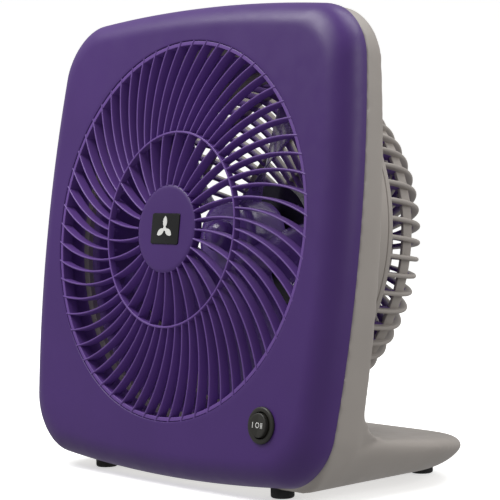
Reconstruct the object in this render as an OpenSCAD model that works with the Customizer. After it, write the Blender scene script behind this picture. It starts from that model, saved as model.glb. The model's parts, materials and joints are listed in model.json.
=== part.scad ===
// Desktop box fan: leaning square front, round grille, deep rear guard and a flat foot.
// Millimetres. +Z is up, the fan blows towards -Y, the origin is at the middle of the
// footprint on the ground.

/* [Front panel] */
// Full width of the front panel at its middle
panel_w = 303; // [280:1:340]
// Full height of the front panel, along its own slope
panel_h = 309.6; // [300:0.2:340]
// Backward lean of the panel from upright, in degrees
lean = 8; // [4:0.5:12]
// Height of the fan axis above the ground where it crosses the front face
axis_z = 165.6; // [164:0.2:180]
// How far the middle of the panel lies below the fan axis
panel_drop = 5.6; // [3:0.1:6]
// Depth of the front housing, from the face to the parting line
front_depth = 20; // [17:1:24]
// Radius of the soft edge around the face
edge_roll = 17; // [12:1:18]
// Radius of the corners of the panel before its sides are bowed
corner_r = 32; // [20:1:40]
// How far the left and right sides bow outwards
side_bow = 12; // [0:0.2:14]
// How far the top and bottom bow outwards
top_bow = 8.3; // [0:0.2:12]
// Wall thickness of the moulded housings
wall = 2.4; // [1.8:0.1:3]

/* [Front grille] */
// Radius of the round opening in the front face
opening_r = 124.4; // [118:0.2:128]
// Radius of the ring halfway along the ribs
mid_ring_r = 63.7; // [55:0.1:75]
// Radius of the closed disc in the middle
hub_r = 29; // [24:0.5:34]
// How far the disc stands in front of the face
grille_rise = 7.2; // [4:0.1:10]
// Number of ribs inside the middle ring; twice as many run outside it
inner_ribs = 30; // [24:2:36]
// Radius of the arc that each rib follows
rib_arc_r = 117; // [105:1:140]
// Thickness of a rib
rib_t = 1.5; // [1.2:0.1:2]
// Front-to-back depth of a rib
rib_deep = 7; // [5:0.5:9]

/* [Rear housing and foot] */
// Depth of the rear wall behind the face, measured on the fan axis
rear_depth = 39; // [36:0.5:42]
// Outer radius of the round collar behind the rear wall
collar_r = 119; // [116:0.2:119.4]
// Depth of the end of the collar behind the face
collar_depth = 77; // [70:1:79]
// Distance from the fan axis at the face to the back of the foot
foot_reach = 156.5; // [152:0.5:170]
// Height of the top of the foot above the ground, at the rear wall
foot_top = 38; // [36:0.5:38]
// Height of the top of the foot at its back end
foot_tip = 26; // [24:0.5:32]
// Height of the underside of the foot above the ground
foot_clear = 6; // [5:0.5:7]
// Radius of the rear corners of the foot, seen from above
foot_corner_r = 60; // [50:1:80]

/* [Rear guard] */
// Depth of the back of the guard behind the face
guard_depth = 144; // [140:1:147]
// Number of fins around the guard
guard_fins = 60; // [48:4:72]
// Thickness of a fin
fin_t = 3; // [1.8:0.1:3]
// How deep a fin is, across the skin of the guard
fin_deep = 9; // [7:0.5:11]

/* [Fan] */
// Radius of the circle that the blade tips sweep
blade_r = 108; // [100:1:108]
// Number of blades
blade_count = 5; // [3:1:7]
// Share of the full circle that the blades cover, seen from the front
blade_cover = 0.5; // [0.4:0.01:0.8]
// Turn of the blades about the fan axis, in degrees
blade_phase = 0; // [0:1:71]
// Radius of the motor shaft
shaft_r = 4; // [3:0.5:5]

/* [Switch] */
// Sideways place of the switch from the middle of the panel
switch_x = 100.2; // [92:0.2:101]
// Distance of the switch below the fan axis, along the panel
switch_drop = 118; // [114:0.5:120]
// Diameter of the switch bezel
bezel_d = 23; // [21:0.5:25]
// Tilt of the rocker to either side of off, in degrees
rocker_tilt = 12; // [6:1:12]

/* [Hidden] */
$fn = 96;

purple = "#46306b";
grey = "#8f8881";
black = "#232323";
steel = "#a9adb0";

half_w = panel_w / 2;
half_h = panel_h / 2;
// The face leans back, so its lower edge is the foremost part of the fan.
face_front = (half_h + panel_drop - edge_roll) * sin(lean);
face_y = (face_front - foot_reach) / 2;
foot_end = face_y + foot_reach;
foot_half_w = half_w - 4.5;
foot_mid = foot_top - 13;
foot_wall_y = face_y + 30;
foot_roll = 14;
foot_edge = 12;
foot_inner = 70;
foot_fillet = 20;
foot_pad_r = 7.5;
foot_pad_x = 89.7;
foot_pad_front = 9.4;
foot_pad_back = 135.6;
// Height of each rubber foot, most of it inside its pocket.
foot_pad_h = 13.6;
// Gap between the face and the front end of the foot's floor.
foot_front = 3;
cover_front = 24;
// The rear wall leans less than the face, so the casing is thinner at the top.
rear_slope = 0.043;
fit = 0.3;
running = 0.05;
badge_w = 27.6;
badge_h = 19.8;
badge_sunk = 0.8;
badge_t = 1.4;
hole_d = 20.4;
bezel_z = 1.9;
bezel_round = 1.4;
pivot_z = 0.6;
pivot_r = 1.2;
pivot_l = 18.4;
rocker_r = 7.6;
rocker_mid = 3.4;
rocker_end = 4.3;
terminal_x = 5;
boss_inset = 27;
boss_r = 4.5;
screw_r = 1.5;
// Depths of the end of the rear bosses and of the seats of the screws in them.
boss_end = 34;
sink_floor = 24;
grille_r = opening_r - fit;
duct_r = collar_r - wall - fit - 2;
duct_t = 2;
post_len = 9;

gland_x = -104;
gland_drop = 88;
gland_bore_r = 3.2;
gland_r = 5;
gland_depth = rear_depth + rear_slope * gland_drop;

guard_start = collar_depth + 2;
guard_rim = 4;
guard_r = collar_r - 2;
guard_plate_r = 43;
guard_plate_t = 5;
guard_screw_r = collar_r - 5.8;
guard_pitch = 360 / guard_fins;
hoop_t = 2.4;

motor_r = 40;
rotor_r = 21.4;
coil_r = 28;
motor_wall = 2.8;
motor_front = 84;
stator_front = motor_front + 12;
stator_rear = stator_front + 20;
motor_rear = guard_depth - guard_plate_t - 0.2;
bearing_r = 8;
bolt_ring_r = 34.6;
bolt_r = 1.9;

blade_hub_r = 27;
blade_hub_front = 42;
blade_hub_rear = 74;
blade_mid = 57;
blade_pitch = 34;
blade_camber = 10;
shaft_front = 36.5;
shaft_rear = motor_rear - 5;

// ---------- frames and shared shapes ----------

// Places children in the panel's own frame: x right, y up the slope, z out of the face.
module panel() {
    translate([0, face_y, axis_z]) rotate([90 - lean, 0, 0]) children();
}

// A solid of revolution about the fan axis, from points given as [radius, depth].
module turned(points) {
    mirror([0, 0, 1]) rotate_extrude() polygon(points);
}

// A round tube about the fan axis between two depths.
module tube(r_out, r_in, from, to) {
    translate([0, 0, -to]) difference() {
        cylinder(r = r_out, h = to - from);
        translate([0, 0, -1]) cylinder(r = r_in, h = to - from + 2);
    }
}

// A solid disc about the fan axis between two depths.
module disc(r, from, to) {
    translate([0, 0, -to]) cylinder(r = r, h = to - from);
}

// Corner and side points of a rounded rectangle, counter-clockwise.
function rounded_rect(a, b, r, arc = 7, side = 6) = [
    for (q = [0:3])
        let (
            sx = (q == 0 || q == 3) ? 1 : -1,
            sy = q < 2 ? 1 : -1,
            nx = (q == 1 || q == 2) ? -1 : 1,
            c = [sx * (a - r), sy * (b - r)],
            n = [(q == 0 || q == 1) ? -(a - r) : (a - r), (q == 1 || q == 2) ? -(b - r) : (b - r)],
            start = c + r * [cos(90 * q + 90), sin(90 * q + 90)],
            finish = n + r * [cos(90 * q + 90), sin(90 * q + 90)]
        )
        each concat(
            [for (k = [0:arc]) c + r * [cos(90 * q + 90 * k / arc), sin(90 * q + 90 * k / arc)]],
            [for (k = [1:side - 1]) start + (finish - start) * k / side]
        )
];

// The panel's outline drawn in by an inset, with its four sides bowed outwards.
function panel_outline(inset = 0) = [
    for (p = rounded_rect(half_w, half_h, corner_r))
        let (
            x = p.x - side_bow * pow(p.y / half_h, 2) * p.x / half_w,
            y = p.y - top_bow * pow(p.x / half_w, 2) * p.y / half_h
        )
        [x * (half_w - inset) / half_w, y * (half_h - inset) / half_h - panel_drop]
];

// One level of a loft: the panel outline at a depth that may change up the panel.
function panel_ring(inset, depth, slope = 0) = [
    for (p = panel_outline(inset)) [p.x, p.y, -(depth - slope * p.y)]
];

// The two triangles of the four-sided patch a, b, c, d.
function patch(a, b, c, d) = [[a, b, c], [a, c, d]];

// The faces between the rings of a loft, each ring having n points.
function loft_sides(rings, n) = [
    for (k = [0:len(rings) - 2]) for (i = [0:n - 1])
        each patch(k * n + i, (k + 1) * n + i, (k + 1) * n + (i + 1) % n, k * n + (i + 1) % n)
];

// Skins a stack of closed flat rings, the lowest first.
module loft(rings) {
    n = len(rings[0]);
    last = (len(rings) - 1) * n;
    bottom = [for (i = [0:n - 1]) i];
    top = [for (i = [n - 1:-1:0]) last + i];
    polyhedron([for (ring = rings) each ring], concat([bottom], loft_sides(rings, n), [top]));
}

// Skins a stack of thin bent rings, whose ends are closed by a strip across each.
module bent_loft(rings) {
    n = len(rings[0]);
    last = (len(rings) - 1) * n;
    bottom = [for (k = [0:n / 2 - 2]) each patch(k, k + 1, n - 2 - k, n - 1 - k)];
    top = [for (f = bottom) [last + f[2], last + f[1], last + f[0]]];
    polyhedron([for (ring = rings) each ring], concat(bottom, loft_sides(rings, n), top));
}

// ---------- front ----------

// The pillow shape of the front housing, shrunk by a wall thickness for its inside.
module front_pillow(inset, from, to) {
    steps = 6;
    loft(concat(
        [panel_ring(inset, to)],
        [for (i = [steps:-1:0])
            let (a = 90 * i / steps)
            panel_ring(inset + edge_roll * (1 - sin(a)), from + edge_roll * (1 - cos(a)))]
    ));
}

module boss_places() {
    for (sx = [-1, 1], sy = [-1, 1])
        translate([sx * (half_w - boss_inset), sy * (half_h - boss_inset) - panel_drop, 0]) children();
}

// The duct ring: as wide as the opening at first, then drawn in to line the rear collar.
module air_duct() {
    start = wall + running;
    neck = front_depth - 2;
    slope_end = neck + 10;
    duct_end = collar_depth - post_len - 0.6;
    color(purple) panel() turned([
        [opening_r, start], [opening_r + wall, start], [opening_r + wall, neck],
        [duct_r + duct_t, slope_end], [duct_r + duct_t, duct_end],
        [duct_r, duct_end], [duct_r, slope_end], [opening_r, neck]
    ]);
}

module front_housing() {
    color(purple) panel() {
        difference() {
            front_pillow(0, 0, front_depth);
            front_pillow(wall, wall, front_depth + 1);
            disc(opening_r, -1, front_depth);
            translate([switch_x, -switch_drop, -front_depth]) cylinder(d = hole_d, h = front_depth + 1);
        }
        boss_places() difference() {
            disc(boss_r, wall - 0.5, front_depth - 1);
            disc(screw_r + 0.1, wall + 2, front_depth);
        }
    }
}

// Height of the grille's front surface above the face at a given radius.
function grille_z(r) = grille_rise * (grille_r - r) / (grille_r - hub_r);

// The cone-shaped layer that trims the ribs to an even depth.
module grille_layer() {
    ends = [hub_r - 1, grille_r - 1];
    rotate_extrude() polygon([
        [ends[0], grille_z(ends[0])], [ends[1], grille_z(ends[1])],
        [ends[1], grille_z(ends[1]) - rib_deep], [ends[0], grille_z(ends[0]) - rib_deep]
    ]);
}

// One curved rib, leaving the hub square to it and sweeping clockwise.
module rib(start_r) {
    sweep = 52;
    start_turn = start_r > hub_r ? 2 * asin((start_r - hub_r) / (2 * rib_arc_r)) : 0;
    translate([hub_r - 0.5, -rib_arc_r, -rib_deep])
        rotate([0, 0, 90 - sweep]) rotate_extrude(angle = sweep - start_turn)
            translate([rib_arc_r - rib_t / 2, 0]) square([rib_t, grille_rise + rib_deep + 1]);
}

module front_grille() {
    rim_w = 2.6;
    rim_deep = 9;
    ring_t = 1.8;
    ring_deep = 4.5;
    disc_deep = 6;
    disc_wall = 2;
    color(purple) panel() {
        intersection() {
            grille_layer();
            for (i = [0:2 * inner_ribs - 1])
                rotate([0, 0, i * 180 / inner_ribs]) rib(i % 2 == 0 ? hub_r : mid_ring_r);
        }
        tube(grille_r, grille_r - rim_w, 0.4, rim_deep);
        translate([0, 0, grille_z(mid_ring_r)])
            tube(mid_ring_r + ring_t / 2, mid_ring_r - ring_t / 2, -0.3, ring_deep);
        translate([0, 0, grille_rise]) difference() {
            disc(hub_r, 0, disc_deep);
            disc(hub_r - disc_wall, disc_wall, disc_deep + 1);
            translate([0, 0, -badge_sunk])
                linear_extrude(2) polygon(rounded_rect(badge_w / 2 + 0.2, badge_h / 2 + 0.2, 1.7));
        }
    }
}

// The dark plate in the middle of the grille.
module badge_plate() {
    color(black) panel() translate([0, 0, grille_rise - badge_sunk + running])
        linear_extrude(badge_t) polygon(rounded_rect(badge_w / 2, badge_h / 2, 1.5));
}

// A plain three-leaf fan sign, printed proud of the plate.
module badge_mark() {
    leaf = 7.6;
    leaf_gap = 0.6;
    color("white") panel() translate([0, 0, grille_rise - badge_sunk + badge_t + 2 * running])
        linear_extrude(0.3) {
            circle(r = 1.5);
            for (a = [90:120:330]) rotate(a) translate([leaf / 2 + leaf_gap, 0]) intersection() {
                translate([0, leaf * 0.36]) circle(r = leaf * 0.62);
                translate([0, -leaf * 0.36]) circle(r = leaf * 0.62);
            }
        }
}

// ---------- switch ----------

// Places children at the switch, in the panel's own frame.
module at_switch() {
    panel() translate([switch_x, -switch_drop, 0]) children();
}

module switch_body() {
    cup_r = rocker_r + 0.7;
    cup_floor = 5;
    barrel = 16;
    color("#2f2f2d") at_switch() difference() {
        union() {
            rotate_extrude() polygon([
                [0, 0.1], [bezel_d / 2, 0.1], [bezel_d / 2, bezel_z - bezel_round],
                [bezel_d / 2 - bezel_round, bezel_z], [0, bezel_z]
            ]);
            disc(hole_d / 2 - fit, -0.2, barrel);
        }
        disc(cup_r, -bezel_z - 1, cup_floor);
        translate([0, pivot_l / 2 + 0.4, pivot_z]) rotate([90, 0, 0])
            cylinder(r = pivot_r + running, h = pivot_l + 0.8);
        for (x = [-terminal_x, 0, terminal_x]) translate([x - 0.5, -3.2, -barrel - 1]) cube([1, 6.4, 8]);
    }
}

// The round rocker: a shallow V on top, so that either half can be pressed.
module switch_rocker() {
    belly = 1.5;
    color("#3a3a36") at_switch() {
        intersection() {
            disc(rocker_r, -rocker_end - 1, 5);
            translate([0, 10, 0]) rotate([90, 0, 0]) linear_extrude(20) polygon([
                [-3, -3.5], [3, -3.5], [rocker_r, -belly], [rocker_r, rocker_end],
                [0, rocker_mid], [-rocker_r, rocker_end], [-rocker_r, -belly]
            ]);
        }
        translate([0, pivot_l / 2, pivot_z]) rotate([90, 0, 0]) cylinder(r = pivot_r, h = pivot_l);
    }
}

// The signs for slow, off and fast, standing a hair above the rocker.
module rocker_marks() {
    bar = [0.45, 3.4, 0.3];
    bar_x = 4;
    twin = 0.6;
    ring_r = 1.7;
    slope = atan((rocker_end - rocker_mid) / rocker_r);
    color("white") at_switch() {
        for (side = [-1, 1]) translate([0, 0, rocker_mid]) rotate([0, -side * slope, 0])
            for (k = side < 0 ? [0] : [-twin, twin])
                translate([side * bar_x + k - bar.x / 2, -bar.y / 2, 0.03]) cube(bar);
        translate([0, 0, rocker_mid + 0.24]) difference() {
            cylinder(r = ring_r, h = 0.25);
            translate([0, 0, -1]) cylinder(r = ring_r - 0.4, h = 3);
        }
    }
}

module switch_terminals() {
    blade = [0.8, 6, 14];
    color("#b5a05a") at_switch()
        for (x = [-terminal_x, 0, terminal_x]) translate([x - blade.x / 2, -blade.y / 2, -24]) cube(blade);
}

// ---------- rear housing and foot ----------

// The leaning rear half of the casing, open towards the front.
module rear_casing(inset, from, to) {
    loft([
        panel_ring(inset + 3.4, to, rear_slope), panel_ring(inset + 1.6, to - 0.8, rear_slope),
        panel_ring(inset + 0.7, to - 3, rear_slope), panel_ring(inset + 0.7, from)
    ]);
}

// Outline of the foot seen from above, with two round corners at the back.
function foot_outline(inset, from) =
    let (w = foot_half_w - inset, r = max(foot_corner_r - inset, 8), back = foot_end - inset)
    concat(
        [[w, from]],
        [for (k = [0:8]) [w - r + r * cos(k * 11.25), back - r + r * sin(k * 11.25)]],
        [for (k = [8:16]) [-(w - r) + r * cos(k * 11.25), back - r + r * sin(k * 11.25)]],
        [[-w, from]]
    );

// How much of its full height the foot has at a distance from the front.
function foot_share(y) =
    1 - (foot_top - foot_tip) / (foot_top - foot_clear) * (y - foot_wall_y) / (foot_end - foot_wall_y);

function foot_ring(inset, z, from) =
    [for (p = foot_outline(inset, from)) [p.x, p.y, foot_clear + (z - foot_clear) * foot_share(p.y)]];

// The pillow shape of the foot, shrunk by a wall thickness for its inside.
module foot_pillow(inset, from, bottom) {
    low = [for (k = [0:5]) 90 * k / 5];
    high = [for (k = [1:4]) 90 * k / 4];
    down = foot_mid - bottom;
    up = foot_top - inset - foot_mid;
    loft(concat(
        [for (a = low) foot_ring(inset + foot_roll * (1 - sin(a)), foot_mid - down * cos(a), from)],
        [for (a = high) foot_ring(inset + foot_edge * (1 - cos(a)), foot_mid + up * sin(a), from)]
    ));
}

// The front outline carried straight back, so that the foot's sides follow the panel's corners.
module outline_prism(inset) {
    translate([0, foot_end, axis_z - front_depth * sin(lean)]) rotate([90, 0, 0])
        linear_extrude(foot_reach) polygon(panel_outline(inset));
}

module foot_body(inset, from, bottom) {
    intersection() {
        foot_pillow(inset, from, bottom);
        outline_prism(inset + 0.7);
    }
}

// Where the rear wall stands at a height, seen from the side.
function rear_wall_y(z) =
    let (v = (z - axis_z) / cos(lean))
    face_y + (rear_depth - rear_slope * v) * cos(lean) + v * sin(lean);

// The hollow curve that carries the rear wall down into the foot.
module foot_web() {
    wall_y = rear_wall_y(foot_top + foot_fillet);
    intersection() {
        translate([-half_w, 0, 0]) rotate([90, 0, 90]) linear_extrude(panel_w) difference() {
            translate([wall_y - 6, foot_top - 4]) square([foot_fillet + 6, foot_fillet + 4]);
            translate([wall_y + foot_fillet, foot_top + foot_fillet]) circle(r = foot_fillet);
        }
        outline_prism(1);
    }
}

// Places children at the four feet; side and back are -1 or 1.
module at_foot(side, back) {
    y = face_y + (back > 0 ? foot_pad_back : foot_pad_front);
    translate([side * foot_pad_x, y, 0]) children();
}

module cover_screw_places() {
    for (side = [-1, 1], k = [0, 1])
        let (y = k == 0 ? face_y + cover_front + 10 : foot_end - foot_inner - 12)
        translate([side * (foot_half_w - foot_inner - 15 - 12 * k), y, 0]) children();
}

// The guard's own screws stand midway between two fins.
module guard_screw_places() {
    first = guard_pitch * round(45 / guard_pitch);
    for (a = [first:90:first + 270]) rotate([0, 0, a]) translate([guard_screw_r, 0, 0]) children();
}

module gland_place() {
    translate([gland_x, -gland_drop, 0]) children();
}

module rear_housing() {
    from = face_y + foot_front;
    color(grey) difference() {
        union() {
            difference() {
                union() {
                    intersection() {
                        panel() rear_casing(0, front_depth + fit, rear_depth);
                        translate([-half_w, -foot_reach, 5]) cube([panel_w, 2 * foot_reach, 2 * panel_h]);
                    }
                    foot_body(0, from, foot_clear);
                    foot_web();
                    panel() tube(collar_r, 100, rear_depth - 9, collar_depth);
                }
                intersection() {
                    panel() rear_casing(wall, front_depth - 1, rear_depth - wall);
                    translate([-half_w, -foot_reach, foot_clear + wall])
                        cube([panel_w, 2 * foot_reach, 2 * panel_h]);
                }
                foot_body(wall, from - 8, foot_clear + wall);
                panel() disc(collar_r - wall, front_depth - 2, collar_depth + 1);
                translate([0, 0, foot_clear - 3]) linear_extrude(6)
                    polygon(foot_outline(foot_inner, face_y + cover_front));
            }
            panel() {
                boss_places() tube(boss_r + 1.1, screw_r + 0.5, front_depth + fit, boss_end);
                intersection() {
                    tube(collar_r - 1, 100, collar_depth - post_len, collar_depth);
                    guard_screw_places()
                        tube(3.8, screw_r + 0.1, collar_depth - post_len, collar_depth);
                }
            }
            intersection() {
                foot_body(1, from, foot_clear);
                union() {
                    for (side = [-1, 1], back = [-1, 1]) at_foot(side, back)
                        cylinder(r = foot_pad_r + 2.5, h = 18);
                    cover_screw_places() translate([0, 0, foot_clear + wall + fit]) cylinder(r = 4, h = 40);
                    for (side = [-1, 1]) translate([side * (half_w - boss_inset) - 2, from + 1, 0])
                        cube([4, 10, 28]);
                }
            }
        }
        for (side = [-1, 1], back = [-1, 1]) at_foot(side, back)
            translate([0, 0, -1]) cylinder(r = foot_pad_r + running, h = foot_pad_h + 1.4);
        cover_screw_places() cylinder(r = screw_r + running, h = 26);
        panel() {
            boss_places() disc(4.4, sink_floor, 50);
            gland_place() disc(gland_r + 0.2, 20, 60);
        }
    }
}

module base_cover() {
    color(grey) difference() {
        translate([0, 0, foot_clear]) linear_extrude(wall)
            polygon(foot_outline(foot_inner + fit, face_y + cover_front + fit));
        cover_screw_places() cylinder(r = 1.8, h = 20);
    }
}

module cord_gland() {
    color(black) panel() gland_place() difference() {
        union() {
            disc(gland_r, gland_depth - wall - 2, gland_depth + 1);
            disc(gland_r + 2, gland_depth + 0.5, gland_depth + 3);
            disc(gland_r + 1, gland_depth - wall - 2.6, gland_depth - wall - 0.8);
        }
        disc(gland_bore_r, gland_depth - 10, gland_depth + 4);
    }
}

module run_capacitor() {
    block = [36, 26, 16];
    color("#cfcabf") translate([-block.x / 2, face_y + 50, foot_clear + wall + running]) cube(block);
}

// A round rubber foot with a softened sole edge.
module foot_pad(side, back) {
    soft = 0.8;
    color("#161616") at_foot(side, back) rotate_extrude() polygon([
        [0, 0], [foot_pad_r - soft, 0], [foot_pad_r, soft], [foot_pad_r, foot_pad_h], [0, foot_pad_h]
    ]);
}

module foot_front_left() { foot_pad(-1, -1); }
module foot_front_right() { foot_pad(1, -1); }
module foot_rear_left() { foot_pad(-1, 1); }
module foot_rear_right() { foot_pad(1, 1); }

// ---------- rear guard ----------

// The guard's section from its rim to its middle plate: a dome with a flat back.
function guard_curve(inset, end_r) =
    let (r = guard_r - inset, deep = guard_depth - guard_start - inset, steps = 12)
    [for (k = [0:steps])
        let (a = acos(pow(end_r / r, 1.5)) * k / steps)
        [r * pow(cos(a), 2 / 3), -(guard_start + deep * pow(sin(a), 2 / 3))]];

// One radial fin that follows the guard's section.
module guard_fin() {
    skin = guard_curve(0, guard_plate_r - 2);
    under = guard_curve(fin_deep, guard_plate_r - 2);
    back = [for (k = [len(under) - 1:-1:0]) under[k]];
    rotate([90, 0, 0]) translate([0, 0, -fin_t / 2]) linear_extrude(fin_t) polygon(concat(skin, back));
}

// A thin hoop that ties the fins together under the skin.
module guard_hoop(r, from, to) {
    tube(r + hoop_t / 2, r - hoop_t / 2, from, to);
}

module bolt_places() {
    for (a = [45:90:315]) rotate([0, 0, a]) translate([bolt_ring_r, 0, 0]) children();
}

module rear_guard() {
    rim_from = collar_depth + 0.2;
    color(grey) panel() difference() {
        union() {
            for (i = [0:guard_fins - 1]) rotate([0, 0, (i + 0.5) * 360 / guard_fins]) guard_fin();
            tube(collar_r, collar_r - 10, rim_from, rim_from + guard_rim);
            guard_hoop(guard_r - 7.2, guard_start + 20, guard_start + 28);
            guard_hoop(guard_r - 31, guard_depth - 18.5, guard_depth - 12);
            guard_hoop(guard_r - 55, guard_depth - 11, guard_depth - 4);
            disc(guard_plate_r, guard_depth - guard_plate_t, guard_depth);
        }
        guard_screw_places() disc(screw_r + 0.3, rim_from - 1, rim_from + guard_rim + 1);
        bolt_places() disc(bolt_r + 0.2, guard_depth - guard_plate_t - 10, guard_depth + 1);
    }
}

// ---------- fan ----------

// Angle that a blade spans about the axis at a radius, rounded off towards the tip.
function blade_span(r) =
    let (tip = max(0, (r - 0.82 * blade_r) / (0.18 * blade_r)))
    360 / blade_count * blade_cover * sqrt(1 - 0.82 * tip * tip);

// One closed section of a blade: front side first, then the rear side back again.
function blade_section(r) =
    let (
        span = blade_span(r),
        pitch = blade_pitch - 0.07 * (r - blade_hub_r),
        thick = 2.4 - 0.01 * (r - blade_hub_r),
        lead = -0.11 * (r - blade_hub_r),
        steps = 8,
        place = function(u, side)
            let (a = lead + span * (0.5 - u), camber = blade_camber * u * (1 - u))
            [r * cos(a), r * sin(a), -(blade_mid - pitch * (u - 0.5) + camber) + side * thick / 2]
    )
    concat(
        [for (k = [0:steps]) place(k / steps, 1)],
        [for (k = [steps:-1:0]) place(k / steps, -1)]
    );

module blade() {
    root = blade_hub_r - 1.4;
    steps = 10;
    bent_loft([for (k = [0:steps]) blade_section(root + (blade_r - root) * sin(90 * k / steps))]);
}

module fan_blades() {
    skin = 2.4;
    color("#4b3a80") panel() difference() {
        union() {
            turned([
                [0, blade_hub_front], [20, blade_hub_front], [25, blade_hub_front + 2],
                [blade_hub_r, blade_hub_front + 6], [blade_hub_r, blade_hub_rear],
                [blade_hub_r - skin, blade_hub_rear], [blade_hub_r - skin, blade_hub_front + 7],
                [8, blade_hub_front + 3], [8, blade_hub_rear - 2], [0, blade_hub_rear - 2]
            ]);
            for (i = [0:blade_count - 1]) rotate([0, 0, blade_phase + i * 360 / blade_count]) blade();
        }
        disc(shaft_r + 0.02, blade_hub_front - 1, blade_hub_rear + 1);
    }
}

module blade_nut() {
    color(grey) panel() difference() {
        turned([
            [0, 31], [5, 31.4], [9, 34], [11, 38],
            [11, blade_hub_front - 0.2], [0, blade_hub_front - 0.2]
        ]);
        disc(shaft_r + 0.02, shaft_front - 0.3, blade_hub_front + 1);
    }
}

// ---------- motor ----------

module motor_shaft() {
    color(steel) panel() disc(shaft_r, shaft_front, shaft_rear);
}

module motor_rotor() {
    color(steel) panel() tube(rotor_r, shaft_r + 0.02, stator_front - 1, stator_rear + 1);
}

module winding_places() {
    for (a = [0:45:315]) rotate([0, 0, a]) translate([coil_r, 0, 0]) children();
}

module motor_stator() {
    color("#77797c") panel() difference() {
        tube(motor_r, rotor_r + 0.6, stator_front, stator_rear);
        bolt_places() disc(bolt_r + 0.2, stator_front - 1, stator_rear + 1);
        winding_places() disc(3.2, stator_front - 1, stator_rear + 1);
    }
}

module motor_windings() {
    color("#a8622e") panel() {
        tube(coil_r + 3.6, coil_r - 4, stator_front - 7, stator_front - 0.2);
        tube(coil_r + 3.6, coil_r - 4, stator_rear + 0.2, stator_rear + 7);
        winding_places() disc(3, stator_front - 1, stator_rear + 1);
    }
}

// One end bell: a shallow cup with a bearing seat, open towards the stator.
module end_bell(plate_from, plate_to, open_end, seat_from, seat_to, bore_from, bore_to) {
    low = min(plate_from, open_end);
    high = max(plate_to, open_end);
    color("#8d9093") panel() difference() {
        union() {
            tube(motor_r, motor_r - motor_wall, low, high);
            disc(motor_r, plate_from, plate_to);
            disc(11, seat_from, seat_to);
        }
        disc(bearing_r + 0.02, bore_from, bore_to);
        bolt_places() disc(bolt_r + 0.2, plate_from - 1, plate_to + 1);
    }
}

module motor_front_bell() {
    plate = motor_front + motor_wall;
    end_bell(motor_front, plate, stator_front - 0.1, motor_front, plate + 7, motor_front - 1, plate + 8);
}

module motor_rear_bell() {
    plate = motor_rear - motor_wall;
    end_bell(plate, motor_rear, stator_rear + 0.1, plate - 10, motor_rear, plate - 11, motor_rear - 4);
}

module front_bearing() {
    color("#b08d4c") panel() tube(bearing_r, shaft_r + running, motor_front + 1, motor_front + 9);
}

module rear_bearing() {
    rear = motor_rear - 4.2;
    color("#b08d4c") panel() tube(bearing_r, shaft_r + running, rear - 8, rear);
}

// ---------- fasteners ----------

// A round-headed screw that points at the face, from its seat to its tip.
module screw(head_r, head_t, shank_r, seat, tip) {
    disc(head_r, seat, seat + head_t);
    disc(shank_r, tip, seat + 0.1);
}

module motor_bolts() {
    color(steel) panel() bolt_places() screw(3.6, 2.2, bolt_r, guard_depth, motor_front + 1);
}

module guard_screws() {
    seat = collar_depth + 0.2 + guard_rim;
    color(steel) panel() guard_screw_places() screw(3, 2, screw_r, seat, collar_depth - post_len + 1);
}

module housing_screws() {
    color(steel) panel() boss_places() screw(3.6, 2.2, screw_r, sink_floor, 7);
}

module base_screws() {
    color(steel) cover_screw_places() {
        translate([0, 0, foot_clear - 1.6]) cylinder(r = 3.2, h = 1.6);
        translate([0, 0, foot_clear - 0.1]) cylinder(r = screw_r, h = 16);
    }
}

front_housing();
air_duct();
front_grille();
badge_plate();
badge_mark();
switch_body();
switch_rocker();
rocker_marks();
switch_terminals();
rear_housing();
base_cover();
rear_guard();
cord_gland();
run_capacitor();
foot_front_left();
foot_front_right();
foot_rear_left();
foot_rear_right();
fan_blades();
blade_nut();
motor_shaft();
motor_rotor();
motor_stator();
motor_windings();
motor_front_bell();
motor_rear_bell();
front_bearing();
rear_bearing();
motor_bolts();
guard_screws();
housing_screws();
base_screws();
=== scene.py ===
"""Looks of a desk box fan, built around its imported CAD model.

Lengths are in millimetres until a mesh is made. Most pieces are drawn in the panel's own frame:
x to the right, y up the leaning face, z out of the face, zero where the fan axis crosses it.
"""

import json
import math

import bmesh
import bpy
from mathutils import Matrix, Vector


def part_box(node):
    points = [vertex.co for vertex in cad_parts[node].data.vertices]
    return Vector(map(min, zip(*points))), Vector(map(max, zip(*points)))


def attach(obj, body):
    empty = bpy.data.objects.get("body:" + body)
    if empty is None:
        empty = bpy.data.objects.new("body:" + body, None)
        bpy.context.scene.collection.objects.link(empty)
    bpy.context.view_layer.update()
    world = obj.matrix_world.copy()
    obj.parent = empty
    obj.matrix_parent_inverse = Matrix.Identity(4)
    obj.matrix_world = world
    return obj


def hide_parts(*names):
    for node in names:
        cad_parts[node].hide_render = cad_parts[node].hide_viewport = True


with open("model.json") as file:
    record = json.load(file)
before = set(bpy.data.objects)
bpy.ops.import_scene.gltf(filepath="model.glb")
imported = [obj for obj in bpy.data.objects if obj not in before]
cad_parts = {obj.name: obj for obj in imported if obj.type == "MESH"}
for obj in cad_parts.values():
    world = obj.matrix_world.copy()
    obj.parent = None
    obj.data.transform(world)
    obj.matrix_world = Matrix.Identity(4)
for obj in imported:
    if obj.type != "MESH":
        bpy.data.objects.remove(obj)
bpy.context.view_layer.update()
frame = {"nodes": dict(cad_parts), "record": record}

MM = 0.001
TAU = 2 * math.pi

# ---------- the frame that the CAD gives ----------

JOINTS = {j["name"]: j for j in frame["record"]["behaviour"]["joints"]}
BLADE_MID = 57.0
BACK = Vector(JOINTS["fan_spin"]["axis"]).normalized()
RIGHT = Vector((1, 0, 0))
UP = RIGHT.cross(BACK)
CENTRE = Vector(JOINTS["fan_spin"]["pos_m"]) / MM - BACK * BLADE_MID
PANEL = Matrix.Translation(CENTRE) @ Matrix((RIGHT, UP, -BACK)).transposed().to_4x4()
WORLD = Matrix.Identity(4)

# ---------- sizes shared by the pieces ----------

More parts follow.
